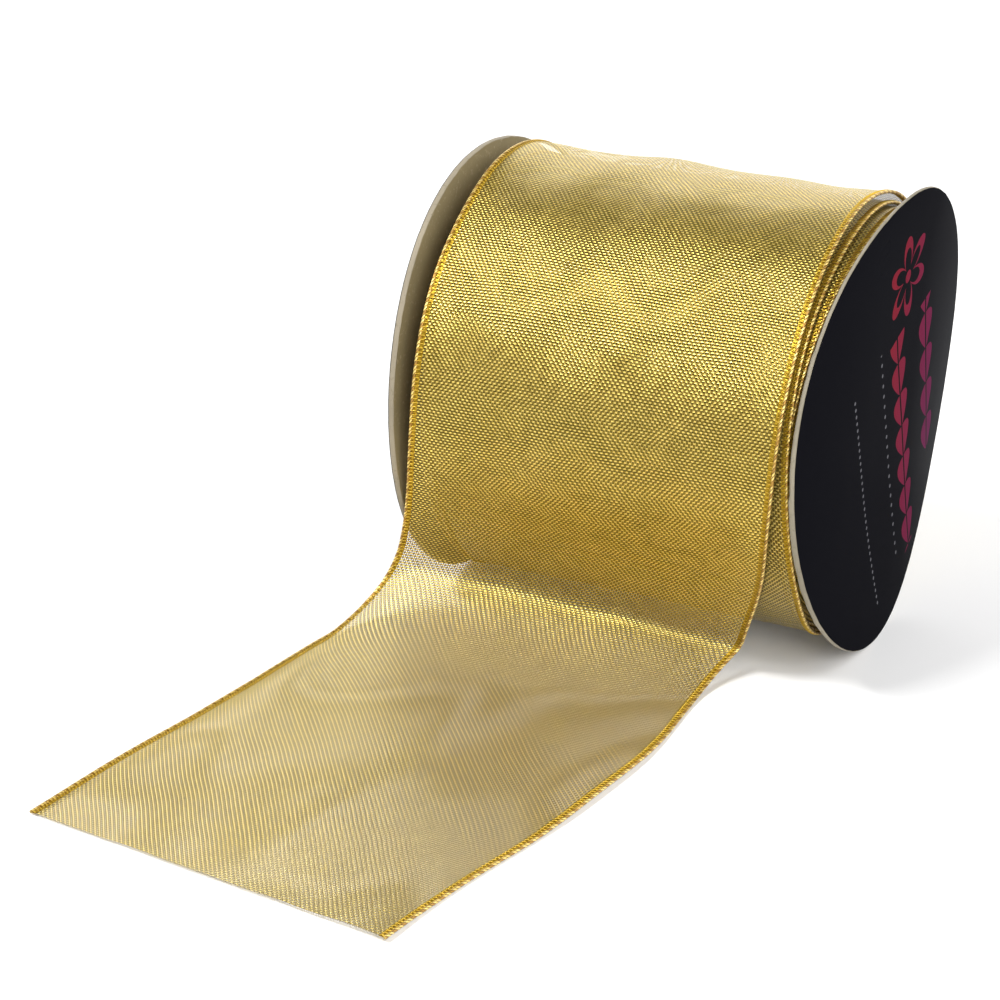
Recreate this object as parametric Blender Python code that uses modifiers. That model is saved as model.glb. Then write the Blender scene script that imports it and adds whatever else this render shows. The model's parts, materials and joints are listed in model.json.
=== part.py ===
"""A spool of wire-edged mesh ribbon, standing on its flanges with the free end on the floor.

Metres, +Z up. The spool's axis lies along X. The ribbon comes over the top of the roll and
down its front, turns on the floor and lies forward, towards -Y.
"""

import math

import bmesh
import bpy
from mathutils import Matrix, Vector

# Clearances
GAP = 0.0003
RUNNING_GAP = 0.0005

# Ribbon: a woven web, an overlocked band along each edge, and a wire outside each band
RIBBON_WIDTH = 0.1016
WEB_THICKNESS = 0.0004
OVERLOCK_WIDTH = 0.0014
OVERLOCK_THICKNESS = 0.0009
WIRE_RADIUS = 0.0003
WIRE_AT = RIBBON_WIDTH / 2 - WIRE_RADIUS
OVERLOCK_AT = WIRE_AT - WIRE_RADIUS - GAP - OVERLOCK_WIDTH / 2
WEB_HALF_WIDTH = OVERLOCK_AT - OVERLOCK_WIDTH / 2 - GAP

# Spool: two boards glued to a tube, each faced with printed paper
FLANGE_RADIUS = 0.0605
FLANGE_SIDES = 72
INNER_WIDTH = 0.1133
BOARD_THICKNESS = 0.0015
BOARD_EDGE_BEVEL = 0.00025
PAPER_THICKNESS = 0.0002
PAPER_MARGIN = 0.0004
CORE_RADIUS = 0.0120
CORE_WALL = 0.0010
GLUE_LEG = 0.0020
TAPE_WIDTH = 0.048
TAPE_THICKNESS = 0.00015
TAPE_ANGLE = math.radians(75)
TURN_STEPS = 64
CORE_STEPS = 48

# Where the spool stands: its lowest facets lie on z = 0
AXIS_HEIGHT = FLANGE_RADIUS * math.cos(math.pi / FLANGE_SIDES)
SPOOL_X = 0.01165
SPOOL_Y = 0.06915

# The wound pack turns under the outermost turn, which stays with the free end
TURN_RADIUS = 0.0590
PACK_RADIUS = TURN_RADIUS - RUNNING_GAP
PACK_INNER_RADIUS = CORE_RADIUS + TAPE_THICKNESS + 2 * GAP
EDGE_RIDGES = 12
EDGE_RIDGE_DEPTH = 0.0005

# Route of the outermost turn, from behind the roll to the cut end, seen from +X
START_ANGLE = math.radians(225)
LEAVE_ANGLE = math.radians(-16)
BEND_RADIUS = 0.0090
TAIL_END = 0.1936
SPLIT_AT = 0.0780
TAIL_YAW = math.radians(-5.8)
YAW_RUN = 0.060
ARC_STEPS = 46
DROP_STEPS = 5
BEND_STEPS = 12
FLOOR_STEP = 0.008

# Sideways drift of the ribbon's middle: distance from where it starts, then the drift there
DRIFT_START_ANGLE = math.radians(22)
DRIFT = ((0.0, 0.0), (0.028, -0.0008), (0.052, -0.0042), (0.074, -0.0100), (0.092, -0.0160), (0.112, -0.0193))
DRIFT_SLOPE = math.tan(math.radians(-6.0))


def clear_scene():
    for item in list(bpy.data.objects):
        bpy.data.objects.remove(item, do_unlink=True)


def new_collection(name):
    collection = bpy.data.collections.new(name)
    bpy.context.scene.collection.children.link(collection)
    return collection


def material(name, colour, roughness, metallic=0.0):
    made = bpy.data.materials.new(name)
    made.use_nodes = True
    shader = made.node_tree.nodes["Principled BSDF"]
    shader.inputs["Base Color"].default_value = (*colour, 1.0)
    shader.inputs["Roughness"].default_value = roughness
    shader.inputs["Metallic"].default_value = metallic
    made.diffuse_color = (*colour, 1.0)
    return made


def mesh_object(name, bm, collection, look, parent):
    mesh = bpy.data.meshes.new(name)
    bm.to_mesh(mesh)
    bm.free()
    made = bpy.data.objects.new(name, mesh)
    collection.objects.link(made)
    made.data.materials.append(look)
    made.parent = parent
    return made


# --- the spool ---------------------------------------------------------------------------


def disc(name, radius, thickness, x, collection, look, parent):
    """A disc across X, turned so that one facet of its rim faces straight down."""
    bm = bmesh.new()
    turn = Matrix.Rotation(math.pi / 2, 4, "Y") @ Matrix.Rotation(math.pi / FLANGE_SIDES, 4, "Z")
    bmesh.ops.create_cone(
        bm,
        cap_ends=True,
        segments=FLANGE_SIDES,
        radius1=radius,
        radius2=radius,
        depth=thickness,
        matrix=turn,
    )
    made = mesh_object(name, bm, collection, look, parent)
    made.location.x = x
    return made


def turned(name, profile, steps, collection, look, parent):
    """A closed profile of (distance along X, radius) points, turned round the spool's axis."""
    bm = bmesh.new()
    points = [bm.verts.new((radius, 0.0, along)) for along, radius in profile]
    for first, second in zip(points, points[1:] + points[:1]):
        bm.edges.new((first, second))
    made = mesh_object(name, bm, collection, look, parent)
    made.rotation_euler.y = math.pi / 2
    screw = made.modifiers.new("turn", "SCREW")
    screw.axis = "Z"
    screw.steps = steps
    screw.render_steps = steps
    screw.use_merge_vertices = True
    screw.merge_threshold = 0.00001
    return made


def core_tube(collection, look, parent):
    half = INNER_WIDTH / 2 - GAP
    bore = CORE_RADIUS - CORE_WALL
    profile = [(half, CORE_RADIUS), (-half, CORE_RADIUS), (-half, bore), (half, bore)]
    return turned("core_tube", profile, CORE_STEPS, collection, look, parent)


def flange_board(name, side, collection, look, parent):
    x = side * (INNER_WIDTH / 2 + BOARD_THICKNESS / 2)
    board = disc(name, FLANGE_RADIUS, BOARD_THICKNESS, x, collection, look, parent)
    rim = board.modifiers.new("rim", "BEVEL")
    rim.width = BOARD_EDGE_BEVEL
    rim.segments = 1
    rim.limit_method = "ANGLE"
    rim.angle_limit = math.radians(60)
    return board


def face_paper(name, side, collection, look, parent):
    x = side * (INNER_WIDTH / 2 + BOARD_THICKNESS + GAP + PAPER_THICKNESS / 2)
    return disc(name, FLANGE_RADIUS - PAPER_MARGIN, PAPER_THICKNESS, x, collection, look, parent)


def glue_ring(name, side, collection, look, parent):
    """A bead in the corner between the tube and a board."""
    board = INNER_WIDTH / 2 - GAP
    tube = CORE_RADIUS + GAP
    profile = [
        (side * board, tube + GLUE_LEG),
        (side * (board - GLUE_LEG * 0.35), tube + GLUE_LEG * 0.35),
        (side * (board - GLUE_LEG), tube),
        (side * board, tube),
    ]
    if side < 0:
        profile.reverse()
    return turned(name, profile, CORE_STEPS, collection, look, parent)


def start_tape(collection, look, parent):
    """The strip of tape that holds the ribbon's first turn on the tube."""
    bm = bmesh.new()
    radius = CORE_RADIUS + GAP
    ends = [bm.verts.new((radius, 0.0, side * TAPE_WIDTH / 2)) for side in (1, -1)]
    bm.edges.new(ends)
    made = mesh_object("start_tape", bm, collection, look, parent)
    made.rotation_euler.y = math.pi / 2
    screw = made.modifiers.new("wrap", "SCREW")
    screw.axis = "Z"
    screw.angle = TAPE_ANGLE
    screw.steps = 10
    screw.render_steps = 10
    thick = made.modifiers.new("thickness", "SOLIDIFY")
    thick.thickness = TAPE_THICKNESS
    thick.offset = 1.0
    return made


def wound_web(collection, look, parent):
    half = WEB_HALF_WIDTH
    inner = PACK_INNER_RADIUS
    profile = [(half, PACK_RADIUS), (-half, PACK_RADIUS), (-half, inner), (half, inner)]
    return turned("wound_web", profile, TURN_STEPS, collection, look, parent)


def wound_edge(name, side, collection, look, parent):
    """The stacked edges of the wound turns, ridged where one turn lies on the next."""
    near = WEB_HALF_WIDTH + GAP
    far = RIBBON_WIDTH / 2
    pitch = (PACK_RADIUS - PACK_INNER_RADIUS) / EDGE_RIDGES
    profile = [(side * near, PACK_INNER_RADIUS), (side * near, PACK_RADIUS)]
    for ridge in range(EDGE_RIDGES):
        top = PACK_RADIUS - ridge * pitch
        profile.append((side * (far - EDGE_RIDGE_DEPTH), top))
        profile.append((side * far, top - pitch / 2))
    profile.append((side * (far - EDGE_RIDGE_DEPTH), PACK_INNER_RADIUS))
    if side > 0:
        profile.reverse()
    return turned(name, profile, TURN_STEPS, collection, look, parent)


# --- the free stretch of ribbon ----------------------------------------------------------


def smooth_through(knots, slope, x):
    """A smooth curve through the knots, which ends at the given slope and goes on straight."""
    slopes = [0.0]
    for before, after in zip(knots, knots[2:]):
        slopes.append((after[1] - before[1]) / (after[0] - before[0]))
    slopes.append(slope)
    if x <= knots[0][0]:
        return knots[0][1]
    if x >= knots[-1][0]:
        return knots[-1][1] + slope * (x - knots[-1][0])
    place = next(i for i in range(len(knots) - 1) if x <= knots[i + 1][0])
    (x0, y0), (x1, y1) = knots[place], knots[place + 1]
    span = x1 - x0
    t = (x - x0) / span
    start = (1 + 2 * t) * (1 - t) ** 2 * y0 + t * (1 - t) ** 2 * span * slopes[place]
    end = t * t * (3 - 2 * t) * y1 + t * t * (t - 1) * span * slopes[place + 1]
    return start + end


def ease(value):
    clamped = min(max(value, 0.0), 1.0)
    return clamped * clamped * (3 - 2 * clamped)


def side_route():
    """The ribbon's underside as (y, z) points, relative to the floor under the spool's axis."""
    route = []
    for step in range(ARC_STEPS + 1):
        angle = START_ANGLE + (LEAVE_ANGLE - START_ANGLE) * step / ARC_STEPS
        route.append((-TURN_RADIUS * math.cos(angle), AXIS_HEIGHT + TURN_RADIUS * math.sin(angle)))
    leave_y, leave_z = route[-1]
    head_y, head_z = -math.sin(LEAVE_ANGLE), -math.cos(LEAVE_ANGLE)
    length = (leave_z - BEND_RADIUS * (1 + head_y)) / -head_z
    for step in range(1, DROP_STEPS + 1):
        along = length * step / DROP_STEPS
        route.append((leave_y + head_y * along, leave_z + head_z * along))
    centre_y = route[-1][0] + BEND_RADIUS * head_z
    sweep = math.pi / 2 - LEAVE_ANGLE
    for step in range(1, BEND_STEPS + 1):
        angle = sweep * (1 - step / BEND_STEPS)
        route.append((centre_y + BEND_RADIUS * math.sin(angle), BEND_RADIUS * (1 - math.cos(angle))))
    return route


def stations():
    """(y, z, middle x, yaw, normal) of each straight section across the ribbon."""
    route = side_route()
    floor_y = route[-1][0]
    count = math.ceil((TAIL_END + floor_y) / FLOOR_STEP)
    route += [(floor_y - (TAIL_END + floor_y) * step / count, 0.0) for step in range(1, count + 1)]
    drift_from = TURN_RADIUS * (START_ANGLE - DRIFT_START_ANGLE)
    made = []
    travelled = 0.0
    for place, (y, z) in enumerate(route):
        before = route[max(place - 1, 0)]
        after = route[min(place + 1, len(route) - 1)]
        travelled += math.hypot(y - before[0], z - before[1])
        normal = Vector((0.0, after[1] - before[1], before[0] - after[0])).normalized()
        middle = smooth_through(DRIFT, DRIFT_SLOPE, travelled - drift_from)
        yaw = TAIL_YAW * ease((floor_y - y) / YAW_RUN) if z == 0.0 else 0.0
        made.append((y, z, middle, yaw, normal))
    return made


def split_stations():
    """The stations of the stretch that stays put, and of the end that slides forward."""
    every = stations()
    staying = [one for one in every if one[1] > 0.0 or one[0] > -SPLIT_AT]
    sliding = [one for one in every if one not in staying]
    y, z, middle, yaw, normal = staying[-1]
    sliding.insert(0, (y - GAP, z, middle + GAP * DRIFT_SLOPE, yaw, normal))
    return staying, sliding


def across(station, offset, height=0.0):
    """The point at an offset from the ribbon's middle and a height above its underside."""
    y, z, middle, yaw, normal = station
    point = Vector((middle + offset * math.cos(yaw), y + offset * math.sin(yaw), z))
    return point + normal * height


def strip(name, route, near, far, thickness, collection, look, parent):
    """A band of the ribbon between two offsets from its middle."""
    bm = bmesh.new()
    steps = len(route) - 1
    bmesh.ops.create_grid(bm, x_segments=1, y_segments=steps, size=1.0)
    for vert in bm.verts:
        station = route[round((vert.co.y + 1) / 2 * steps)]
        offset = near if vert.co.x < 0 else far
        vert.co = across(station, offset)
    made = mesh_object(name, bm, collection, look, parent)
    thick = made.modifiers.new("thickness", "SOLIDIFY")
    thick.thickness = thickness
    thick.offset = -1.0
    thick.use_even_offset = True
    return made


def edge_wire(name, route, side, collection, look, parent):
    curve = bpy.data.curves.new(name, "CURVE")
    curve.dimensions = "3D"
    curve.bevel_depth = WIRE_RADIUS
    curve.bevel_resolution = 2
    curve.use_fill_caps = True
    spline = curve.splines.new("POLY")
    spline.points.add(len(route) - 1)
    for point, station in zip(spline.points, route):
        point.co = (*across(station, side * WIRE_AT, WIRE_RADIUS), 1.0)
    curve.materials.append(look)
    made = bpy.data.objects.new(name, curve)
    collection.objects.link(made)
    made.parent = parent
    return made


def ribbon_stretch(prefix, route, collection, looks, parent):
    half = WEB_HALF_WIDTH
    strip(prefix + "_web", route, -half, half, WEB_THICKNESS, collection, looks["web"], parent)
    for word, side in (("left", -1), ("right", 1)):
        near = side * OVERLOCK_AT - OVERLOCK_WIDTH / 2
        name = f"{prefix}_{word}_overlock"
        far = near + OVERLOCK_WIDTH
        strip(name, route, near, far, OVERLOCK_THICKNESS, collection, looks["overlock"], parent)
        edge_wire(f"{prefix}_{word}_wire", route, side, collection, looks["wire"], parent)


# --- assembly ----------------------------------------------------------------------------


def materials():
    return {
        "web": material("gold_mesh", (0.62, 0.47, 0.16), 0.35, 0.6),
        "overlock": material("gold_thread", (0.66, 0.42, 0.06), 0.5, 0.3),
        "wire": material("copper_wire", (0.45, 0.20, 0.07), 0.35, 1.0),
        "board": material("greyboard", (0.30, 0.27, 0.19), 0.85),
        "paper": material("black_paper", (0.012, 0.011, 0.011), 0.25),
        "tube": material("core_board", (0.42, 0.33, 0.22), 0.85),
        "glue": material("hot_glue", (0.75, 0.66, 0.42), 0.35),
        "tape": material("clear_tape", (0.80, 0.76, 0.62), 0.3),
    }


def empty(name, location, collection):
    made = bpy.data.objects.new(name, None)
    made.location = location
    collection.objects.link(made)
    return made


def build():
    clear_scene()
    parts = new_collection("ribbon_spool")
    looks = materials()
    axis = empty("spool_axis", (SPOOL_X, SPOOL_Y, AXIS_HEIGHT), parts)
    floor = empty("floor_under_axis", (SPOOL_X, SPOOL_Y, 0.0), parts)

    core_tube(parts, looks["tube"], axis)
    start_tape(parts, looks["tape"], axis)
    wound_web(parts, looks["web"], axis)
    for word, side in (("left", -1), ("right", 1)):
        flange_board(word + "_board", side, parts, looks["board"], axis)
        face_paper(word + "_face_paper", side, parts, looks["paper"], axis)
        glue_ring(word + "_glue_ring", side, parts, looks["glue"], axis)
        wound_edge(word + "_wound_edge", side, parts, looks["overlock"], axis)

    staying, sliding = split_stations()
    ribbon_stretch("run", staying, parts, looks, floor)
    ribbon_stretch("end", sliding, parts, looks, floor)


build()
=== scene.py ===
"""Looks of the ribbon spool: sheer gold mesh ribbon with overlocked, wired edges on a card spool."""

import json
import math

import bpy
import numpy as np
from mathutils import Matrix, Vector


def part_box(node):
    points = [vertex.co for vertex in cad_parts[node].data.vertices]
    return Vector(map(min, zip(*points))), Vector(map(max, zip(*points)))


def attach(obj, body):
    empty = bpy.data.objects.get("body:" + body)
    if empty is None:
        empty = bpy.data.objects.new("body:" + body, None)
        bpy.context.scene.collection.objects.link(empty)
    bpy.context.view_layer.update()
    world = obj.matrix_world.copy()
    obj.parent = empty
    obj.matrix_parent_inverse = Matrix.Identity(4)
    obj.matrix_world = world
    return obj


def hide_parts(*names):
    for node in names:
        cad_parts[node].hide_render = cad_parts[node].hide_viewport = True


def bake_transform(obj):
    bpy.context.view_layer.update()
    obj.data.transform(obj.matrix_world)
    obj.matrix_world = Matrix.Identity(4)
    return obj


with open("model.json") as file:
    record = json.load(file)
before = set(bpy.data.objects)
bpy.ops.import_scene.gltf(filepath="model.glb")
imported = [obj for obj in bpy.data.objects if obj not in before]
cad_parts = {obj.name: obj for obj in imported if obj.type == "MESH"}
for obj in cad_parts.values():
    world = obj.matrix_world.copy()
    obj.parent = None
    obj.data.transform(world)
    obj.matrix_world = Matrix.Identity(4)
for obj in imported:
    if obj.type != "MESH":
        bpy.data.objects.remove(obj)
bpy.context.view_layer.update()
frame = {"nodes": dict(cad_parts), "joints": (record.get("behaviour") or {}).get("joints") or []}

# --- sizes, in metres ----------------------------------------------------------------------

AXIS = Vector(frame["joints"][0]["pos_m"])
AXIS_HEIGHT = AXIS.z
RIBBON_WIDTH = 0.1016
HALF = RIBBON_WIDTH / 2
EDGE_WIDTH = 0.0016
WARP_PITCH = 0.00066
WEFT_PITCH = 0.00078

TURN_RADIUS = (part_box("wound_web")[1].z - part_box("wound_web")[0].z) / 2 + 0.0005
PACK_INNER = 0.01275
SECOND_TURN = TURN_RADIUS - 0.0012
TURN_PITCH = 0.0010

# The overlock stitches: how far in their middle lies, how far they swing either way across the
# edge, how much they lean, and how far above and below the web they pass, in thread radii.
STITCH_PITCH = 0.00110
STITCH_RADIUS = 0.00016
STITCH_INSET = 0.0010
STITCH_REACH = 0.0008
STITCH_LEAN = 0.25
STITCH_RISE = 2.2
CORD_RADIUS = 0.00045
CORD_STRANDS = 3
STRAND_DEPTH = 0.30

PRINT_TURN = math.radians(20)

START_ANGLE = math.radians(225)
LEAVE_ANGLE = math.radians(-16)
BEND_RADIUS = 0.0090
TAIL_END = 0.1936
TAIL_YAW = math.radians(-5.8)
YAW_RUN = 0.060

# The free stretch's sideways shift, as (distance past the angle below, shift) pairs, and the
# slope it goes on with after the last of them.
DRIFT_START_ANGLE = math.radians(22)
DRIFT = (
    (0.0, 0.0),
    (0.028, -0.0008),
    (0.052, -0.0042),
    (0.074, -0.0100),
    (0.092, -0.0160),
    (0.112, -0.0193),
)
DRIFT_SLOPE = math.tan(math.radians(-6.0))

ARC = TURN_RADIUS * (START_ANGLE - LEAVE_ANGLE)
LEAVE_HEIGHT = AXIS_HEIGHT + TURN_RADIUS * math.sin(LEAVE_ANGLE)
DROP = (LEAVE_HEIGHT - BEND_RADIUS * (1 - math.sin(LEAVE_ANGLE))) / math.cos(LEAVE_ANGLE)
LEAVE_Y = -TURN_RADIUS * math.cos(LEAVE_ANGLE)
BEND_Y = LEAVE_Y - math.sin(LEAVE_ANGLE) * DROP - BEND_RADIUS * math.cos(LEAVE_ANGLE)
FLOOR_FROM = ARC + DROP + BEND_RADIUS * (math.pi / 2 - LEAVE_ANGLE)
LENGTH = FLOOR_FROM + TAIL_END + BEND_Y

# How the free stretch comes down, at its left edge, over its middle and at its right edge:
# the angle at which it leaves the roll, the fold's radius, the slope after the fold, and the
# radius of the curve in which it lands.
LEAVES = (math.radians(-15), math.radians(-20), math.radians(-27))
FOLD_RADII = (0.0140, 0.0035, 0.0028)
FOLD_SLOPES = (math.radians(48), math.radians(29), math.radians(28))
LANDING_RADII = (0.0250, 0.0900, 0.0500)

# How the free stretch starts from the turn below, and how far it stands off the roll and the floor.
START_RUN = 0.030
START_TUCK = 0.0005
ROLL_GAP = 0.0005
FLOOR_GAP = 0.0007
LEAST_FLOOR_GAP = 0.00055

# Sideways bulges near the fold, as (distance along, width, height): at the right edge only,
# and one of the whole width to the left.
RIGHT_BULGES = ((0.338, 0.024, 0.0042), (0.374, 0.030, 0.0048))
LEFT_SHIFT = (0.288, 0.022, 0.0020)


# --- the ribbon's shape --------------------------------------------------------------------


def smooth_through(knots, slope, x):
    """A smooth curve through the knots, which ends at the given slope and goes on straight."""
    knots = np.array(knots)
    slopes = np.gradient(knots[:, 1], knots[:, 0])
    slopes[0] = 0.0
    slopes[-1] = slope
    place = np.clip(np.searchsorted(knots[:, 0], x) - 1, 0, len(knots) - 2)
    span = knots[place + 1, 0] - knots[place, 0]
    t = np.clip((x - knots[place, 0]) / span, 0.0, 1.0)
    inside = (1 + 2 * t) * (1 - t) ** 2 * knots[place, 1]
    inside += t * (1 - t) ** 2 * span * slopes[place]
    inside += t * t * (3 - 2 * t) * knots[place + 1, 1]
    inside += t * t * (t - 1) * span * slopes[place + 1]
    return inside + slope * np.maximum(x - knots[-1, 0], 0.0)


def ease(value):
    clamped = np.clip(value, 0.0, 1.0)
    return clamped * clamped * (3 - 2 * clamped)


def hump(value, middle, width):
    return np.exp(-(((value - middle) / width) ** 2))


def ripples(s, u, waves):
    """The sum of straight waves."""
    total = np.zeros(np.broadcast(s, u).shape)
    for wavelength, heading, phase, height in waves:
        turn = math.radians(heading)
        along = s * math.cos(turn) + u * math.sin(turn)
        total = total + height * np.sin(2 * math.pi * along / wavelength + phase)
    return total


# Each wave is (wavelength, heading in degrees, phase, height).
ROLL_WAVES = (
    (0.034, 80, 0.4, 0.00020),
    (0.026, 62, 2.1, 0.00016),
    (0.047, 118, 4.0, 0.00030),
    (0.060, 24, 3.3, 0.00028),
    (0.029, 150, 5.1, 0.00010),
    (0.017, 100, 1.0, 0.00006),
)
TAIL_WAVES = (
    (0.071, 20, 1.1, 0.00020),
    (0.046, 75, 0.3, 0.00018),
    (0.033, 110, 2.6, 0.00012),
    (0.090, 160, 4.4, 0.00025),
    (0.021, 84, 0.9, 0.00006),
)
# Each crease is two (along, offset) ends, a height and a width.
CREASES = (
    ((0.2065, 0.006), (0.1860, -0.019), 0.00075, 0.0055),
    ((0.2065, 0.006), (0.1790, 0.009), 0.00060, 0.0050),
    ((0.2040, 0.030), (0.1870, 0.022), 0.00045, 0.0060),
    ((0.1960, -0.042), (0.2080, -0.024), 0.00035, 0.0060),
    ((0.2260, -0.020), (0.2440, 0.016), 0.00030, 0.0080),
    ((0.1560, 0.012), (0.1500, 0.044), 0.00030, 0.0070),
)


def creases(s, u):
    """Soft folded ridges, which taper off past both of their ends."""
    total = np.zeros(np.broadcast(s, u).shape)
    for start, end, height, width in CREASES:
        run = np.array(end) - np.array(start)
        length = np.hypot(*run)
        along = ((s - start[0]) * run[0] + (u - start[1]) * run[1]) / length
        aside = ((u - start[1]) * run[0] - (s - start[0]) * run[1]) / length
        taper = ease((along + 0.006) / 0.010) * ease((length + 0.012 - along) / 0.018)
        total = total + height * taper * np.exp(-np.sqrt(aside**2 + 0.0010**2) / width)
    return total


def across_width(values, share):
    """A value between its left, middle and right ones; the left edge's reaches a short way in."""
    part = (share + 1) / 2
    left, middle, right = values
    return middle + (left - middle) * np.exp(-part / 0.14) + (right - middle) * part * part


def side_route(s, share):
    """The underside's y and z, its normal's y and z, and how far down it has come, from 0 to 1."""
    leave = across_width(LEAVES, share)
    fold = across_width(FOLD_RADII, share)
    slope = across_width(FOLD_SLOPES, share)
    landing = across_width(LANDING_RADII, share)
    heading = math.pi / 2 - leave
    fold_z = fold * (np.cos(slope) - np.cos(heading)) + landing * (1 - np.cos(slope))
    arc = TURN_RADIUS * (START_ANGLE - leave)
    drop = (AXIS_HEIGHT + TURN_RADIUS * np.sin(leave) - fold_z) / np.cos(leave)
    angle = START_ANGLE - np.clip(s, 0.0, arc) / TURN_RADIUS
    down = np.clip(s - arc, 0.0, drop)
    folded = np.clip(s - arc - drop, 0.0, fold * (heading - slope))
    landed = np.clip(s - arc - drop - fold * (heading - slope), 0.0, landing * slope)
    after_fold = heading - folded / fold
    after_landing = slope - landed / landing
    y = -TURN_RADIUS * np.cos(angle) - np.sin(leave) * down
    y = y - fold * (np.sin(heading) - np.sin(after_fold))
    y = y - landing * (np.sin(slope) - np.sin(after_landing))
    z = AXIS_HEIGHT + TURN_RADIUS * np.sin(angle) - np.cos(leave) * down
    z = z - fold * (np.cos(after_fold) - np.cos(heading))
    z = z - landing * (np.cos(after_landing) - np.cos(slope))
    floor_from = arc + drop + fold * (heading - slope) + landing * slope
    floor_y = -TURN_RADIUS * np.cos(leave) - np.sin(leave) * drop
    floor_y = floor_y - fold * (np.sin(heading) - np.sin(slope)) - landing * np.sin(slope)
    y = y - np.maximum(s - floor_from, 0.0) * (TAIL_END + floor_y) / (LENGTH - floor_from)
    pitched = np.where(landed > 0, after_landing, after_fold)
    facing = np.where(s < arc + drop, angle, math.pi / 2 - pitched)
    come_down = ease((s - arc - drop) / (floor_from - arc - drop))
    return y, z, -np.cos(facing), np.sin(facing), come_down


def ribbon(s, u):
    """The point of the free stretch at a distance along it and an offset from its middle."""
    s, u = np.broadcast_arrays(np.asarray(s, float), np.asarray(u, float))
    share = u / HALF
    y, z, normal_y, normal_z, on_floor = side_route(s, share)
    drift_from = TURN_RADIUS * (START_ANGLE - DRIFT_START_ANGLE)
    drift = smooth_through(DRIFT, DRIFT_SLOPE, s - drift_from)
    yaw = TAIL_YAW * ease((s - FLOOR_FROM) / YAW_RUN)
    off_roll = np.maximum(ripples(s, u, ROLL_WAVES), -ROLL_GAP) + creases(s, u) + ROLL_GAP
    off_floor = np.maximum(ripples(s, u, TAIL_WAVES) + FLOOR_GAP, LEAST_FLOOR_GAP)
    lift = (1 - on_floor) * off_roll + on_floor * off_floor
    start = ease(s / START_RUN)
    lift = lift * start - START_TUCK * (1 - start)
    bulge = sum(height * hump(s, at, width) for at, width, height in RIGHT_BULGES)
    shift_at, shift_width, shift = LEFT_SHIFT
    bulge = bulge * np.clip(share, 0.0, 1.0) ** 2 - shift * hump(s, shift_at, shift_width)
    x = drift + u * np.cos(yaw) + bulge
    y = y + u * np.sin(yaw) + normal_y * lift
    z = z + normal_z * lift
    return np.stack([x + AXIS.x, y + AXIS.y, z], axis=-1)


# The wound turns' sideways bulges: (angle turned, width before it, width after it, height).
WOUND_DRIFT = (
    (1.85, 0.65, 0.80, 0.0040),
    (3.75, 0.80, 0.90, 0.0018),
    (8.20, 1.20, 1.00, 0.0012),
    (10.03, 0.84, 1.10, 0.0056),
    (15.5, 1.30, 1.40, 0.0030),
)
WOUND_RIPPLE = 0.25


def wound(s, u):
    """The point of the wound ribbon at a distance inward from where the free stretch begins."""
    s, u = np.broadcast_arrays(np.asarray(s, float), np.asarray(u, float))
    turned = s / SECOND_TURN
    radius = SECOND_TURN - TURN_PITCH * turned / (2 * math.pi)
    radius = radius + WOUND_RIPPLE * ripples(s, u, ROLL_WAVES) * ease(s / START_RUN)
    angle = START_ANGLE + turned
    drift = np.zeros(turned.shape)
    for middle, before, after, far in WOUND_DRIFT:
        width = np.where(turned < middle, before, after)
        drift = drift + far * hump(turned, middle, width)
    x = u + drift
    y = -radius * np.cos(angle)
    z = AXIS_HEIGHT + radius * np.sin(angle)
    return np.stack([x + AXIS.x, y + AXIS.y, z], axis=-1)


# --- mesh building -------------------------------------------------------------------------


def grid_mesh(name, points, uvs, closed=False, materials=(), rows_of=None):
    """A mesh of quads over rows of points. A closed one goes round in each row and has end caps."""
    rows, columns = points.shape[:2]
    index = np.arange(rows * columns).reshape(rows, columns)
    here, right = index[:, :-1], index[:, 1:]
    if closed:
        here, right = index, np.roll(index, -1, axis=1)
    quads = np.stack([here[:-1], right[:-1], right[1:], here[1:]], axis=-1).reshape(-1, 4)
    place = np.arange(uvs.shape[0] * uvs.shape[1]).reshape(uvs.shape[:2])
    corners = np.stack([place[:-1, :-1], place[:-1, 1:], place[1:, 1:], place[1:, :-1]], axis=-1)
    loops = corners.reshape(-1)
    faces = quads.tolist()
    if closed:
        faces += [index[0, ::-1].tolist(), index[-1].tolist()]
        loops = np.concatenate([loops, place[0, columns - 1 :: -1], place[-1, :columns]])
    mesh = bpy.data.meshes.new(name)
    mesh.from_pydata(points.reshape(-1, 3).tolist(), [], faces)
    layer = mesh.uv_layers.new(name="lie")
    layer.data.foreach_set("uv", uvs.reshape(-1, 2)[loops].astype(np.float32).ravel())
    mesh.polygons.foreach_set("use_smooth", [True] * len(faces))
    for look in materials:
        mesh.materials.append(look)
    if rows_of is not None:
        slots = np.repeat(np.asarray(rows_of), here.shape[1]).tolist()
        slots += [0] * (len(faces) - len(quads))
        mesh.polygons.foreach_set("material_index", slots)
    made = bpy.data.objects.new(name, mesh)
    bpy.context.scene.collection.objects.link(made)
    return made


def sheet(name, surface, length, across, step, look):
    """The ribbon's web as one sheet, out to a distance each side of its middle."""
    s = np.linspace(0.0, length, int(length / step) + 1)[:, None]
    u = np.linspace(-across, across, int(2 * across / step) + 1)[None, :]
    points = surface(s, u)
    uvs = np.stack(np.broadcast_arrays(u + HALF, s), axis=-1)
    return grid_mesh(name, points, uvs, materials=[look])


def unit(vectors):
    return vectors / np.linalg.norm(vectors, axis=-1, keepdims=True)


def band_frame(surface, s, u):
    """Points along the ribbon at an offset from its middle, with the ways across and out of it."""
    small = 0.0004
    middle = surface(s, u)
    along = unit(surface(s + small, u) - surface(s - small, u))
    across = unit(surface(s, u + small) - surface(s, u - small))
    normal = unit(np.cross(across, along))
    return middle, np.cross(along, normal), normal


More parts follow.
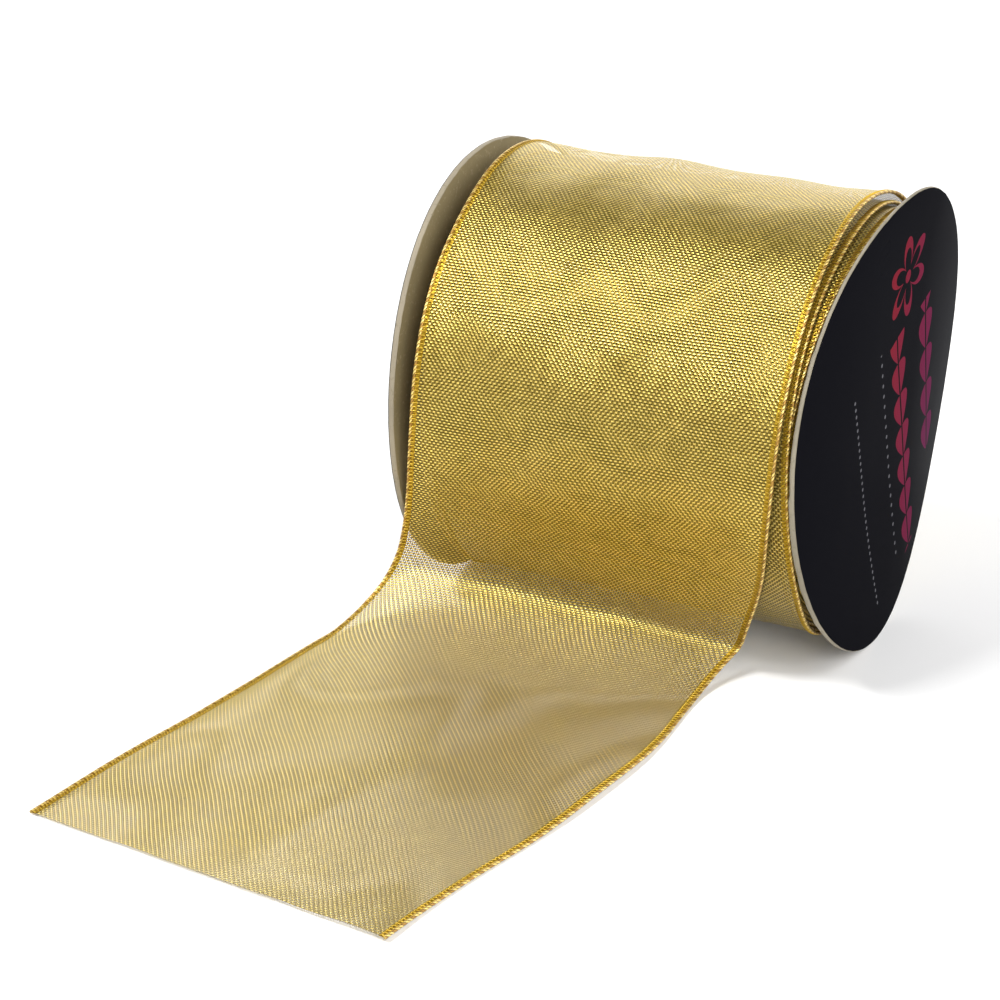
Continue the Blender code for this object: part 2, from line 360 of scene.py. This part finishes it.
def tube(name, middle, side, up, size, twist, look):
    """A tube along a path, of strands wound round it by the phase: (phase, strands, depth, sides)."""
    phase, strands, depth, sides = twist
    theta = np.linspace(0, 2 * math.pi, sides + 1)[None, :]
    wound_phase = phase[:, None] + strands * theta / (2 * math.pi)
    swell = 1 - depth + depth * np.abs(np.sin(math.pi * wound_phase)) ** 0.7
    reach = (size[0] * swell * np.cos(theta))[..., None] * side[:, None, :]
    reach = reach + (size[1] * swell * np.sin(theta))[..., None] * up[:, None, :]
    points = (middle[:, None, :] + reach)[:, :-1]
    uvs = np.stack(np.broadcast_arrays(wound_phase, theta / (2 * math.pi)), axis=-1)
    return grid_mesh(name, points, uvs, closed=True, materials=[look])


def edge_cord(name, surface, span, u, radius, step, sides, look, squash=1.0):
    """A cord of three twisted strands along an edge."""
    s = np.arange(span[0], span[1], step)
    middle, side, up = band_frame(surface, s, np.full_like(s, u))
    twist = (s / STITCH_PITCH, CORD_STRANDS, STRAND_DEPTH, sides)
    return tube(name, middle, side, up, (radius, radius * squash), twist, look)


def stitches(name, surface, span, side_sign, sides, look):
    """The overlock thread, which goes over the edge and back under it at every stitch."""
    s = np.arange(span[0], span[1], STITCH_PITCH / 10)
    phase = s / STITCH_PITCH
    swing = np.sin(2 * math.pi * phase)
    offset = side_sign * (HALF - STITCH_INSET) + side_sign * STITCH_REACH * swing
    leaned = s + STITCH_LEAN * STITCH_PITCH * swing
    middle, side, up = band_frame(surface, leaned, offset)
    lift = STITCH_RADIUS * STITCH_RISE * np.cos(2 * math.pi * phase)
    middle = middle + lift[:, None] * up
    path = unit(np.gradient(middle, axis=0))
    side = unit(np.cross(path, up))
    size = (STITCH_RADIUS, STITCH_RADIUS)
    return tube(name, middle, side, np.cross(side, path), size, (phase, 1, 0.0, sides), look)


# --- materials -----------------------------------------------------------------------------


class Look:
    """A material whose node tree is written as short calls."""

    def __init__(self, name):
        self.material = bpy.data.materials.new(name)
        self.material.use_nodes = True
        self.tree = self.material.node_tree
        self.shader = self.tree.nodes["Principled BSDF"]

    def node(self, kind, inputs=(), **settings):
        made = self.tree.nodes.new(kind)
        for key, value in settings.items():
            setattr(made, key, value)
        for key, value in dict(inputs).items():
            self.feed(made.inputs[key], value)
        return made

    def feed(self, socket, value):
        if isinstance(value, bpy.types.NodeSocket):
            self.tree.links.new(value, socket)
        else:
            socket.default_value = value

    def math(self, operation, first, second=0.0, third=0.0, clamp=False):
        made = self.node("ShaderNodeMath", operation=operation, use_clamp=clamp)
        for socket, value in zip(made.inputs, (first, second, third)):
            self.feed(socket, value)
        return made.outputs[0]

    def mix(self, factor, first, second):
        made = self.node("ShaderNodeMix", data_type="RGBA")
        self.feed(made.inputs["Factor"], factor)
        for key, value in (("A", first), ("B", second)):
            is_socket = isinstance(value, bpy.types.NodeSocket)
            self.feed(made.inputs[key], value if is_socket else (*value, 1.0))
        return made.outputs["Result"]

    def between(self, value, low, high):
        made = self.node("ShaderNodeMapRange", clamp=True)
        for key, number in (("Value", value), ("From Min", low), ("From Max", high)):
            self.feed(made.inputs[key], number)
        return made.outputs[0]

    def noise(self, vector, scale, detail=2.0, roughness=0.5):
        inputs = {"Vector": vector, "Scale": scale, "Detail": detail, "Roughness": roughness}
        return self.node("ShaderNodeTexNoise", inputs).outputs["Fac"]

    def uv(self):
        lie = self.node("ShaderNodeUVMap", uv_map="lie").outputs[0]
        made = self.node("ShaderNodeSeparateXYZ", {"Vector": lie})
        return made.outputs[0], made.outputs[1]

    def bump(self, height, distance, strength=1.0):
        inputs = {"Height": height, "Distance": distance, "Strength": strength}
        made = self.node("ShaderNodeBump", inputs)
        self.feed(self.shader.inputs["Normal"], made.outputs[0])

    def set(self, **values):
        for key, value in values.items():
            socket = self.shader.inputs[key.replace("_", " ").title().replace("Ior", "IOR")]
            self.feed(socket, (*value, 1.0) if isinstance(value, tuple) else value)


# The weave: how bare of yarn it is between the warps and between the wefts (nearer 1 is barer),
# how soon a yarn's edge fades, how far the yarns wander and how deep they cross.
WARP_GAP = 0.85
WEFT_GAP = 0.60
YARN_FADE = 0.08
YARN_WANDER = 1.6
CROSSING = 0.9
SELVEDGE_WIDTH = EDGE_WIDTH + 0.0004
SELVEDGE_LIGHT = (0.50, 0.33, 0.020)
SELVEDGE_DARK = (0.34, 0.20, 0.012)


def mesh_fabric(name, sheer, seed, warp, weft, gap_painted_shade):
    """Plain weave of flat metallic yarn, see-through between the yarns where it is sheer, with
    painted shade between them where it is not.
    """
    look = Look(name)
    across, along = look.uv()
    place = look.node("ShaderNodeTexCoord").outputs["Object"]
    wander = look.noise(place, 30.0 + seed, 1.0)
    wander_more = look.noise(place, 42.0 - seed, 1.0)
    warps = look.math("MULTIPLY", across, 1 / WARP_PITCH)
    wefts = look.math("MULTIPLY", along, 1 / WEFT_PITCH)
    warps = look.math("MULTIPLY_ADD", wander, YARN_WANDER, warps)
    wefts = look.math("MULTIPLY_ADD", wander_more, YARN_WANDER, wefts)
    warp_wave = look.math("SINE", look.math("MULTIPLY", warps, math.pi))
    weft_wave = look.math("SINE", look.math("MULTIPLY", wefts, math.pi))
    weave = look.math("MULTIPLY", warp_wave, weft_wave)
    warp_arch = look.between(look.math("ABSOLUTE", warp_wave), WARP_GAP, 1.0)
    weft_arch = look.between(look.math("ABSOLUTE", weft_wave), WEFT_GAP, 1.0)
    warp_there = look.between(warp_arch, 0.0, YARN_FADE)
    weft_there = look.between(weft_arch, 0.0, YARN_FADE)
    warp_height = look.math("MULTIPLY_ADD", weave, CROSSING, warp_arch)
    weft_height = look.math("MULTIPLY_ADD", weave, -CROSSING, weft_arch)
    warp_height = look.math("MULTIPLY", look.math("ADD", warp_height, 1.0), warp_there)
    weft_height = look.math("MULTIPLY", look.math("ADD", weft_height, 1.0), weft_there)
    height = look.math("MAXIMUM", warp_height, weft_height)
    from_edge = look.math("MINIMUM", across, look.math("SUBTRACT", RIBBON_WIDTH, across))
    selvedge = look.math("LESS_THAN", from_edge, SELVEDGE_WIDTH)
    covered = look.math("MAXIMUM", selvedge, look.math("MAXIMUM", warp_there, weft_there))
    warp_on_top = look.math("GREATER_THAN", warp_height, weft_height)
    # Painted shade: each yarn is darkened where it dives under the other, the weft down to 0.07 of
    # its colour and the warp down to 0.3.
    dive_painted_shade = look.between(weave, -0.30, 0.55)
    weft_with_painted_shade = look.mix(dive_painted_shade, weft, tuple(c * 0.07 for c in weft))
    warp_with_painted_shade = look.mix(look.between(weave, 0.2, 0.9), tuple(c * 0.3 for c in warp), warp)
    tone = look.noise(place, 420.0, 2.0)
    yarn = look.mix(warp_on_top, weft_with_painted_shade, warp_with_painted_shade)
    shade = look.mix(look.between(tone, 0.3, 0.7), (0.80, 0.78, 0.70), (1.0, 1.0, 1.0))
    product = look.node("ShaderNodeMix", data_type="RGBA", blend_type="MULTIPLY")
    look.feed(product.inputs["Factor"], 1.0)
    look.feed(product.inputs["A"], yarn)
    look.feed(product.inputs["B"], shade)
    # Painted shade between the yarns.
    colour = look.mix(covered, gap_painted_shade, product.outputs["Result"])
    selvedge_shade = look.mix(look.between(weave, -0.6, 0.6), SELVEDGE_LIGHT, SELVEDGE_DARK)
    colour = look.mix(selvedge, colour, selvedge_shade)
    look.set(base_color=colour, metallic=look.math("MULTIPLY", covered, 0.72))
    look.set(roughness=look.math("MULTIPLY_ADD", tone, 0.2, 0.23))
    if sheer:
        look.set(alpha=covered)
    look.bump(height, 0.00005, 0.7)
    return look.material


def thread(name, strands, light, middle, painted_dip_shade):
    """Thread wound round an edge, each strand its own colour, with dark painted shade where it dips
    between turns.
    """
    look = Look(name)
    phase, _ = look.uv()
    place = look.node("ShaderNodeTexCoord").outputs["Object"]
    crest = look.math("ABSOLUTE", look.math("SINE", look.math("MULTIPLY", phase, math.pi)))
    strand = look.math("FRACT", look.math("MULTIPLY", look.math("FLOOR", phase), 1 / strands))
    fibre = look.noise(place, 3200.0, 3.0)
    patch = look.noise(place, 260.0, 2.0)
    own = look.mix(look.math("GREATER_THAN", strand, 0.3), middle, light)
    painted_shade_mask = look.math("MULTIPLY_ADD", fibre, 0.5, look.math("SUBTRACT", crest, 0.25))
    # Painted shade: darker towards the dips between turns.
    colour = look.mix(look.between(painted_shade_mask, 0.10, 0.80), painted_dip_shade, own)
    colour = look.mix(look.between(patch, 0.52, 0.72), colour, middle)
    look.set(base_color=colour, metallic=0.6, roughness=look.math("MULTIPLY_ADD", fibre, 0.25, 0.26))
    look.bump(look.math("ADD", fibre, crest), 0.00010, 0.7)
    return look.material


def greyboard(name, face, fleck):
    look = Look(name)
    place = look.node("ShaderNodeTexCoord").outputs["Object"]
    fibre = look.noise(place, 900.0, 6.0, 0.65)
    cloud = look.noise(place, 60.0, 3.0)
    colour = look.mix(look.between(cloud, 0.35, 0.7), face, tuple(c * 0.82 for c in face))
    colour = look.mix(look.between(fibre, 0.56, 0.72), colour, fleck)
    look.set(base_color=colour, specular_ior_level=0.25)
    look.set(roughness=look.math("MULTIPLY_ADD", fibre, 0.15, 0.62))
    look.bump(fibre, 0.00015, 0.35)
    return look.material


# The face's print, in metres from the axis after it is turned by PRINT_TURN: the flower's place,
# the garlands' (place aside, leaf pitch, middle, half span) and the dots' (place, pitch, radius).
FLOWER = (0.0200, 0.0335)
GARLANDS = ((0.0120, 0.0105, -0.0170, 0.0360), (0.0330, 0.0120, -0.0090, 0.0260))
DOT_ROWS = ((-0.0185, 0.0022, 0.00050), (0.0005, 0.0034, 0.00055))
DOTS_MIDDLE = -0.0130
DOTS_HALF_SPAN = 0.0350


def black_print():
    """Black face paper: a six-petalled flower, two garlands of leaves and two rows of pale dots, with
    a painted sheen lightening the black towards the back rim.
    """
    look = Look("black_print")
    place = look.node("ShaderNodeTexCoord").outputs["Object"]
    flat = look.node("ShaderNodeSeparateXYZ", {"Vector": place})
    y = look.math("SUBTRACT", flat.outputs[1], AXIS.y)
    z = look.math("SUBTRACT", flat.outputs[2], AXIS.z)
    cosine, sine = math.cos(PRINT_TURN), math.sin(PRINT_TURN)
    aside = look.math("ADD", look.math("MULTIPLY", y, cosine), look.math("MULTIPLY", z, sine))
    up = look.math("SUBTRACT", look.math("MULTIPLY", z, cosine), look.math("MULTIPLY", y, sine))
    red = flower(look, aside, up, *FLOWER)
    for leaves in GARLANDS:
        red = look.math("MAXIMUM", red, garland(look, aside, up, *leaves))
    dots = dot_row(look, aside, up, *DOT_ROWS[0])
    dots = look.math("MAXIMUM", dots, dot_row(look, aside, up, *DOT_ROWS[1]))
    smudge = look.noise(place, 45.0, 3.0)
    blush = look.mix(look.between(y, 0.0, 0.045), (0.150, 0.012, 0.022), (0.085, 0.009, 0.045))
    # Painted sheen: the black lightens towards the back rim, where the bent paper catches light.
    black_and_painted_sheen = look.mix(look.between(y, 0.022, 0.056), (0.0042, 0.0042, 0.0058), (0.015, 0.015, 0.017))
    colour = look.mix(red, black_and_painted_sheen, blush)
    colour = look.mix(dots, colour, (0.10, 0.10, 0.11))
    look.set(base_color=colour, roughness=look.math("MULTIPLY_ADD", smudge, 0.12, 0.24))
    look.set(specular_ior_level=0.0008)
    look.bump(look.noise(place, 30.0, 2.0), 0.0008, 0.2)
    return look.material


def far_from(look, aside, up, x, y):
    """The offsets from a point of the print, and the distance to it."""
    aside = look.math("SUBTRACT", aside, x)
    up = look.math("SUBTRACT", up, y)
    far = look.math("SQRT", look.math("MULTIPLY_ADD", aside, aside, look.math("MULTIPLY", up, up)))
    return aside, up, far


def flower(look, aside, up, x, y):
    """Six open petals round a dot."""
    aside, up, far = far_from(look, aside, up, x, y)
    turn = look.math("MULTIPLY", look.math("ARCTAN2", up, aside), 3.0)
    petal = look.math("ABSOLUTE", look.math("SINE", turn))
    outer = look.math("MULTIPLY_ADD", petal, 0.0085, 0.0040)
    inner = look.math("MULTIPLY_ADD", petal, 0.0060, 0.0030)
    in_petal = look.math("LESS_THAN", far, outer)
    ring = look.math("MULTIPLY", in_petal, look.math("GREATER_THAN", far, inner))
    return look.math("MAXIMUM", ring, look.math("LESS_THAN", far, 0.0018))


def garland(look, aside, up, at, pitch, middle, half_span):
    """Pairs of leaves up a stem."""
    away = look.math("ABSOLUTE", look.math("SUBTRACT", aside, at))
    slid = look.math("MULTIPLY_ADD", away, -0.55, up)
    leaf = look.math("ABSOLUTE", look.math("SINE", look.math("MULTIPLY", slid, math.pi / pitch)))
    reach = look.math("MULTIPLY", look.math("POWER", leaf, 0.8), 0.0052)
    inside = look.math("LESS_THAN", away, reach)
    vein = look.math("GREATER_THAN", away, 0.00045)
    span = look.math("LESS_THAN", look.math("ABSOLUTE", look.math("SUBTRACT", up, middle)), half_span)
    return look.math("MULTIPLY", look.math("MULTIPLY", inside, vein), span)


def dot_row(look, aside, up, at, pitch, radius):
    """A straight row of small round dots."""
    place = look.math("FRACT", look.math("DIVIDE", up, pitch))
    along = look.math("MULTIPLY", look.math("SUBTRACT", place, 0.5), pitch)
    _, _, far = far_from(look, aside, along, at, 0.0)
    from_middle = look.math("ABSOLUTE", look.math("SUBTRACT", up, DOTS_MIDDLE))
    span = look.math("LESS_THAN", from_middle, DOTS_HALF_SPAN)
    return look.math("MULTIPLY", look.math("LESS_THAN", far, radius), span)


def plain(name, colour, roughness, scale):
    look = Look(name)
    place = look.node("ShaderNodeTexCoord").outputs["Object"]
    grain = look.noise(place, scale, 4.0)
    shade = look.mix(look.between(grain, 0.35, 0.65), tuple(c * 0.8 for c in colour), colour)
    look.set(base_color=shade, roughness=look.math("MULTIPLY_ADD", grain, 0.2, roughness - 0.1))
    look.bump(grain, 0.0002, 0.3)
    return look.material


GOLD_WARP = (0.49, 0.335, 0.040)
GOLD_WEFT = (1.0, 0.765, 0.19)
# The wound turns' gold: a darker copy of the free stretch's, painted shade for the turns under it.
UNDER_WARP_PAINTED_SHADE = (0.24, 0.165, 0.020)
UNDER_WEFT_PAINTED_SHADE = (0.70, 0.52, 0.13)
# The packed drum's gold: darker still, painted shade deep in the roll.
DENSE_WARP_PAINTED_SHADE = (0.20, 0.15, 0.02)
DENSE_WEFT_PAINTED_SHADE = (0.34, 0.26, 0.05)
# Painted shade between the yarns, seen where the weave is not see-through and at the yarns' fading
# edges.
GAP_PAINTED_SHADE = (0.05, 0.034, 0.006)
# Each strand's light and middle colours, and the dark painted shade in its dips.
GOLD_STRAND_AND_SHADE = ((0.92, 0.70, 0.20), (0.56, 0.37, 0.035), (0.15, 0.075, 0.010))
COPPER_STRAND_AND_SHADE = ((0.90, 0.68, 0.22), (0.42, 0.23, 0.045), (0.09, 0.042, 0.008))
sheer_gold = mesh_fabric("sheer_gold_mesh", True, 0.0, GOLD_WARP, GOLD_WEFT, GAP_PAINTED_SHADE)
painted_shade_under_gold = mesh_fabric("under_gold_mesh_painted_shade", True, 9.0, UNDER_WARP_PAINTED_SHADE, UNDER_WEFT_PAINTED_SHADE, GAP_PAINTED_SHADE)
painted_shade_dense_gold = mesh_fabric("dense_gold_mesh_painted_shade", False, 4.0, DENSE_WARP_PAINTED_SHADE, DENSE_WEFT_PAINTED_SHADE, GAP_PAINTED_SHADE)
gold_thread = thread("gold_overlock_thread", 1, *GOLD_STRAND_AND_SHADE)
copper_thread = thread("copper_edge_cord", CORD_STRANDS, *COPPER_STRAND_AND_SHADE)
board_face = greyboard("greyboard_face", (0.235, 0.190, 0.098), (0.31, 0.26, 0.16))
board_rim = {"left": greyboard("left_rim", (0.30, 0.26, 0.19), (0.20, 0.17, 0.11))}
board_rim["right"] = greyboard("right_rim", (0.27, 0.24, 0.18), (0.18, 0.155, 0.11))
face_print = black_print()


# --- pieces --------------------------------------------------------------------------------

BLEND_FROM = FLOOR_FROM + 0.004
BLEND_TO = LENGTH - 0.012


def slide_with_end(piece):
    start = ribbon(BLEND_FROM, 0.0)
    end = ribbon(BLEND_TO, 0.0)
    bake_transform(piece)


free_web = sheet("free_web", ribbon, LENGTH, HALF - CORD_RADIUS, 0.0015, sheer_gold)
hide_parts("run_web", "end_web")
slide_with_end(free_web)
for word, side in (("left", -1), ("right", 1)):
    band = stitches(f"free_{word}_overlock", ribbon, (0.0, LENGTH), side, 5, gold_thread)
    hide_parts(f"run_{word}_overlock", f"end_{word}_overlock")
    cord_at = side * (HALF - CORD_RADIUS)
    cord = edge_cord(
        f"free_{word}_cord", ribbon, (0.0, LENGTH), cord_at, CORD_RADIUS, 0.00016, 12, copper_thread
    )
    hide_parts(f"run_{word}_wire", f"end_{word}_wire")
    for piece in (band, cord):
        slide_with_end(piece)

# The wound ribbon's outermost turns, the drum of packed ones under them, and the stacked edges
# beside the drum, which go in only part of the way to the tube. The turns and the drum are in
# darker gold, painted shade.
WOUND_LENGTH = 3 * 2 * math.pi * SECOND_TURN * 0.985
PACKED_RADIUS = SECOND_TURN - 3.4 * TURN_PITCH
DRUM_SIDES = 128
STACK_RADIUS = SECOND_TURN - 3.2 * TURN_PITCH
STACK_LENGTH = 7.2
STACK_INSET = 0.0009
STACK_CORD = 0.0010

wound_web = sheet("wound_turns", wound, WOUND_LENGTH, HALF - CORD_RADIUS, 0.0025, painted_shade_under_gold)
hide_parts("wound_web")
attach(wound_web, "spool")


def drum(name, radius, half_length, look):
    """An open drum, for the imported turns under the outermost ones."""
    angle = np.linspace(0, 2 * math.pi, DRUM_SIDES + 1)[:, None]
    u = np.linspace(-half_length, half_length, 25)[None, :]
    x = np.broadcast_to(u, (DRUM_SIDES + 1, 25)) + AXIS.x
    y = AXIS.y - radius * np.cos(angle) + 0 * u
    z = AXIS.z + radius * np.sin(angle) + 0 * u
    uvs = np.stack(np.broadcast_arrays(u + HALF, angle * radius), axis=-1)
    return grid_mesh(name, np.stack([x, y, z], axis=-1), uvs, materials=[look])


packed = drum("packed_turns", PACKED_RADIUS, HALF - EDGE_WIDTH, painted_shade_dense_gold)
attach(packed, "spool")

for word, side in (("left", -1), ("right", 1)):
    span = (0.0, WOUND_LENGTH)
    band = stitches(f"wound_{word}_overlock", wound, span, side, 4, gold_thread)
    cord_at = side * (HALF - CORD_RADIUS)
    cord = edge_cord(
        f"wound_{word}_cord", wound, span, cord_at, CORD_RADIUS, 0.00022, 10, copper_thread, 0.8
    )
    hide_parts(f"{word}_wound_edge")
    for piece in (band, cord):
        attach(piece, "spool")


def inner_turns(s, u):
    """The point of the stacked turns, at a distance inward from the outermost of them."""
    turns = (STACK_RADIUS - PACK_INNER) / TURN_PITCH
    total = math.pi * turns * (STACK_RADIUS + PACK_INNER)
    turned = 2 * math.pi * turns * (1 - np.sqrt(np.clip(1 - s / total * 0.985, 0.0, 1.0)))
    radius = STACK_RADIUS - TURN_PITCH * turned / (2 * math.pi)
    angle = START_ANGLE + turned
    x = u + 0.0006 * np.sin(turned * 0.23) + 0.0004 * np.sin(turned * 0.71)
    y = -radius * np.cos(angle)
    z = AXIS_HEIGHT + radius * np.sin(angle)
    return np.stack([x + AXIS.x, y + AXIS.y, z], axis=-1)


for word, side in (("left", -1), ("right", 1)):
    span = (0.0, STACK_LENGTH)
    stack_at = side * (HALF - STACK_INSET)
    stack = edge_cord(
        f"stacked_{word}_edges", inner_turns, span, stack_at, STACK_CORD, 0.0015, 6, gold_thread, 0.52
    )
    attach(stack, "spool")

# --- flanges -------------------------------------------------------------------------------

BOARD = 0.0015
INNER_FACE = 0.1133 / 2
FLOOR_CLEARANCE = 0.00004
RIM_RADIUS = AXIS_HEIGHT - FLOOR_CLEARANCE
PAPER_GAP = 0.00002
PAPER = 0.00016

# Each board's bend: a sideways shift, the saddle's height and its heading in degrees. The right
# board is also out of round: (height, heading, width) of its swollen top and its worn inner rim.
BENDS = {"left": (0.0001, 0.0014, -10.0), "right": (0.0004, 0.0031, 108.0)}
SWELL = (0.0021, math.radians(106), math.radians(24))
TRIM = (0.0014, math.radians(65), math.radians(60))


def bent_disc(name, word, profile, rough, looks, rows_of):
    """A disc of revolution from (radius, depth) pairs, bent like a saddle and ragged at its rim."""
    side = -1 if word == "left" else 1
    shift, height, heading = BENDS[word]
    phi = np.linspace(0, 2 * math.pi, 361)[None, :]
    rng = np.random.default_rng(7 if word == "left" else 8)
    jitter = np.convolve(rng.normal(size=364), (0.25, 0.5, 0.25), "same")[2:363]
    jitter[-1] = jitter[0]
    radius = np.array([pair[0] for pair in profile])[:, None]
    depth = np.array([pair[1] for pair in profile])[:, None]
    radius = radius + np.array(rough)[:, None] * jitter[None, :]
    if side > 0:
        swell = SWELL[0] * hump(phi, SWELL[1], SWELL[2])
        trim = TRIM[0] * hump(phi, TRIM[1], TRIM[2]) * (depth < 0.0003)
        radius = radius * (1 + (swell - trim) / RIM_RADIUS)
    radius = np.minimum(radius, np.where(np.sin(phi) > 0.3, 1.0, RIM_RADIUS))
    bend = shift + height * np.cos(2 * (phi - math.radians(heading)))
    share = radius / RIM_RADIUS
    x = AXIS.x + side * (INNER_FACE + depth) + bend * np.clip((share - 0.2) / 0.8, 0, 1) ** 2
    y = AXIS.y - radius * np.cos(phi)
    z = AXIS.z + radius * np.sin(phi)
    points = np.stack([x, y, z], axis=-1)[:, :-1]
    uvs = np.stack(np.broadcast_arrays(phi * RIM_RADIUS, radius + depth), axis=-1)
    if side > 0:
        points = points[::-1]
        uvs = uvs[::-1]
        rows_of = rows_of[::-1]
    return grid_mesh(name, points, uvs, closed=True, materials=looks, rows_of=rows_of)


def disc_profile(low, high, radius, bevel):
    """The (radius, depth) pairs round a disc's section, from its middle, over its rim and back."""
    faces = [(radius * step / 14, low) for step in range(1, 14)]
    faces += [(radius - 3.0 * bevel, low), (radius - 1.6 * bevel, low)]
    back = [(r, high) for r, _ in reversed(faces)]
    rim = [(radius - bevel, low), (radius, low + bevel), (radius, (low + high) / 2)]
    rim += [(radius, high - bevel), (radius - bevel, high)]
    return [(0.0002, low)] + faces + rim + back + [(0.0002, high)]


def give_look(node, look):
    """A new look for a piece that stays as the CAD model has it."""
    frame["nodes"][node].data.materials.clear()
    frame["nodes"][node].data.materials.append(look)


for word in ("left", "right"):
    board_shape = disc_profile(0.0, BOARD, RIM_RADIUS, 0.00022)
    rough = [0.0] * 16 + [0.00018, 0.00010, 0.00004, 0.00004, 0.00006] + [0.0] * 16
    rows_of = [0] * 16 + [1] * 4 + [0] * 16
    looks = [board_face, board_rim[word]]
    board = bent_disc(f"{word}_flange_board", word, board_shape, rough, looks, rows_of)
    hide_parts(f"{word}_board")
    paper_from = BOARD + PAPER_GAP
    paper_shape = disc_profile(paper_from, paper_from + PAPER, RIM_RADIUS - 0.0002, 0.00005)
    rough = [0.0] * 16 + [0.00006] * 5 + [0.0] * 16
    paper = bent_disc(f"{word}_flange_paper", word, paper_shape, rough, [face_print], [0] * 36)
    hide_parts(f"{word}_face_paper")
    for piece in (board, paper):
        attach(piece, "spool")
    give_look(word + "_glue_ring", plain("glue_" + word, (0.7, 0.6, 0.36), 0.4, 300))
give_look("core_tube", plain("core_card", (0.36, 0.28, 0.18), 0.8, 500))
give_look("start_tape", plain("clear_tape", (0.75, 0.7, 0.55), 0.3, 200))


# --- floor, light and camera ---------------------------------------------------------------


def floor():
    bpy.ops.mesh.primitive_plane_add(size=8.0, location=(0.0, 0.0, -0.0002))
    made = bpy.context.object
    made.name = "pale_floor"
    look = Look("pale_floor")
    look.set(base_color=(0.86, 0.86, 0.86), roughness=0.7, specular_ior_level=0.1)
    look.set(emission_color=(1.0, 1.0, 1.0), emission_strength=0.04)
    made.data.materials.append(look.material)


def area_light(name, direction, distance, size, power):
    target = Vector((AXIS.x, AXIS.y - 0.03, 0.06))
    data = bpy.data.lights.new(name, "AREA")
    data.shape = "RECTANGLE"
    data.size, data.size_y = size
    data.energy = power
    made = bpy.data.objects.new(name, data)
    made.location = target + Vector(direction).normalized() * distance
    made.rotation_euler = (target - made.location).to_track_quat("-Z", "Y").to_euler()
    bpy.context.scene.collection.objects.link(made)


def studio():
    world = bpy.data.worlds.new("studio")
    world.use_nodes = True
    background = world.node_tree.nodes["Background"]
    background.inputs["Color"].default_value = (1.0, 1.0, 1.0, 1.0)
    background.inputs["Strength"].default_value = 0.10
    bpy.context.scene.world = world
    area_light("key", (-0.39, -0.47, 0.80), 1.3, (0.45, 0.18), 15.0)
    area_light("back", (-0.37, 0.80, 0.32), 1.3, (1.2, 0.4), 7.0)
    area_light("right", (0.80, -0.10, 0.60), 1.5, (1.4, 1.4), 10.0)
    area_light("front", (0.62, -0.72, 0.48), 1.6, (1.2, 0.7), 19.0)
    area_light("left", (-0.92, 0.05, 0.38), 1.5, (1.4, 1.0), 9.0)
    area_light("far", (0.55, 0.75, 0.40), 1.5, (1.0, 0.8), 11.0)
    bpy.context.scene.view_settings.view_transform = "Standard"


def camera():
    """Right of the free end and above it, as far off as a long lens needs."""
    data = bpy.data.cameras.new("camera")
    data.sensor_width = 36.0
    data.lens = 96.6
    made = bpy.data.objects.new("camera", data)
    yaw, pitch, roll = math.radians(26.47), math.radians(22.49), math.radians(0.81)
    made.location = Vector((AXIS.x, AXIS.y, 0.0)) + Vector((0.2614, -0.6333, 0.3093))
    level = Matrix.Rotation(yaw, 4, "Z") @ Matrix.Rotation(math.pi / 2 - pitch, 4, "X")
    made.rotation_euler = (level @ Matrix.Rotation(roll, 4, "Z")).to_euler()
    bpy.context.scene.collection.objects.link(made)
    bpy.context.scene.camera = made


floor()
studio()
camera()
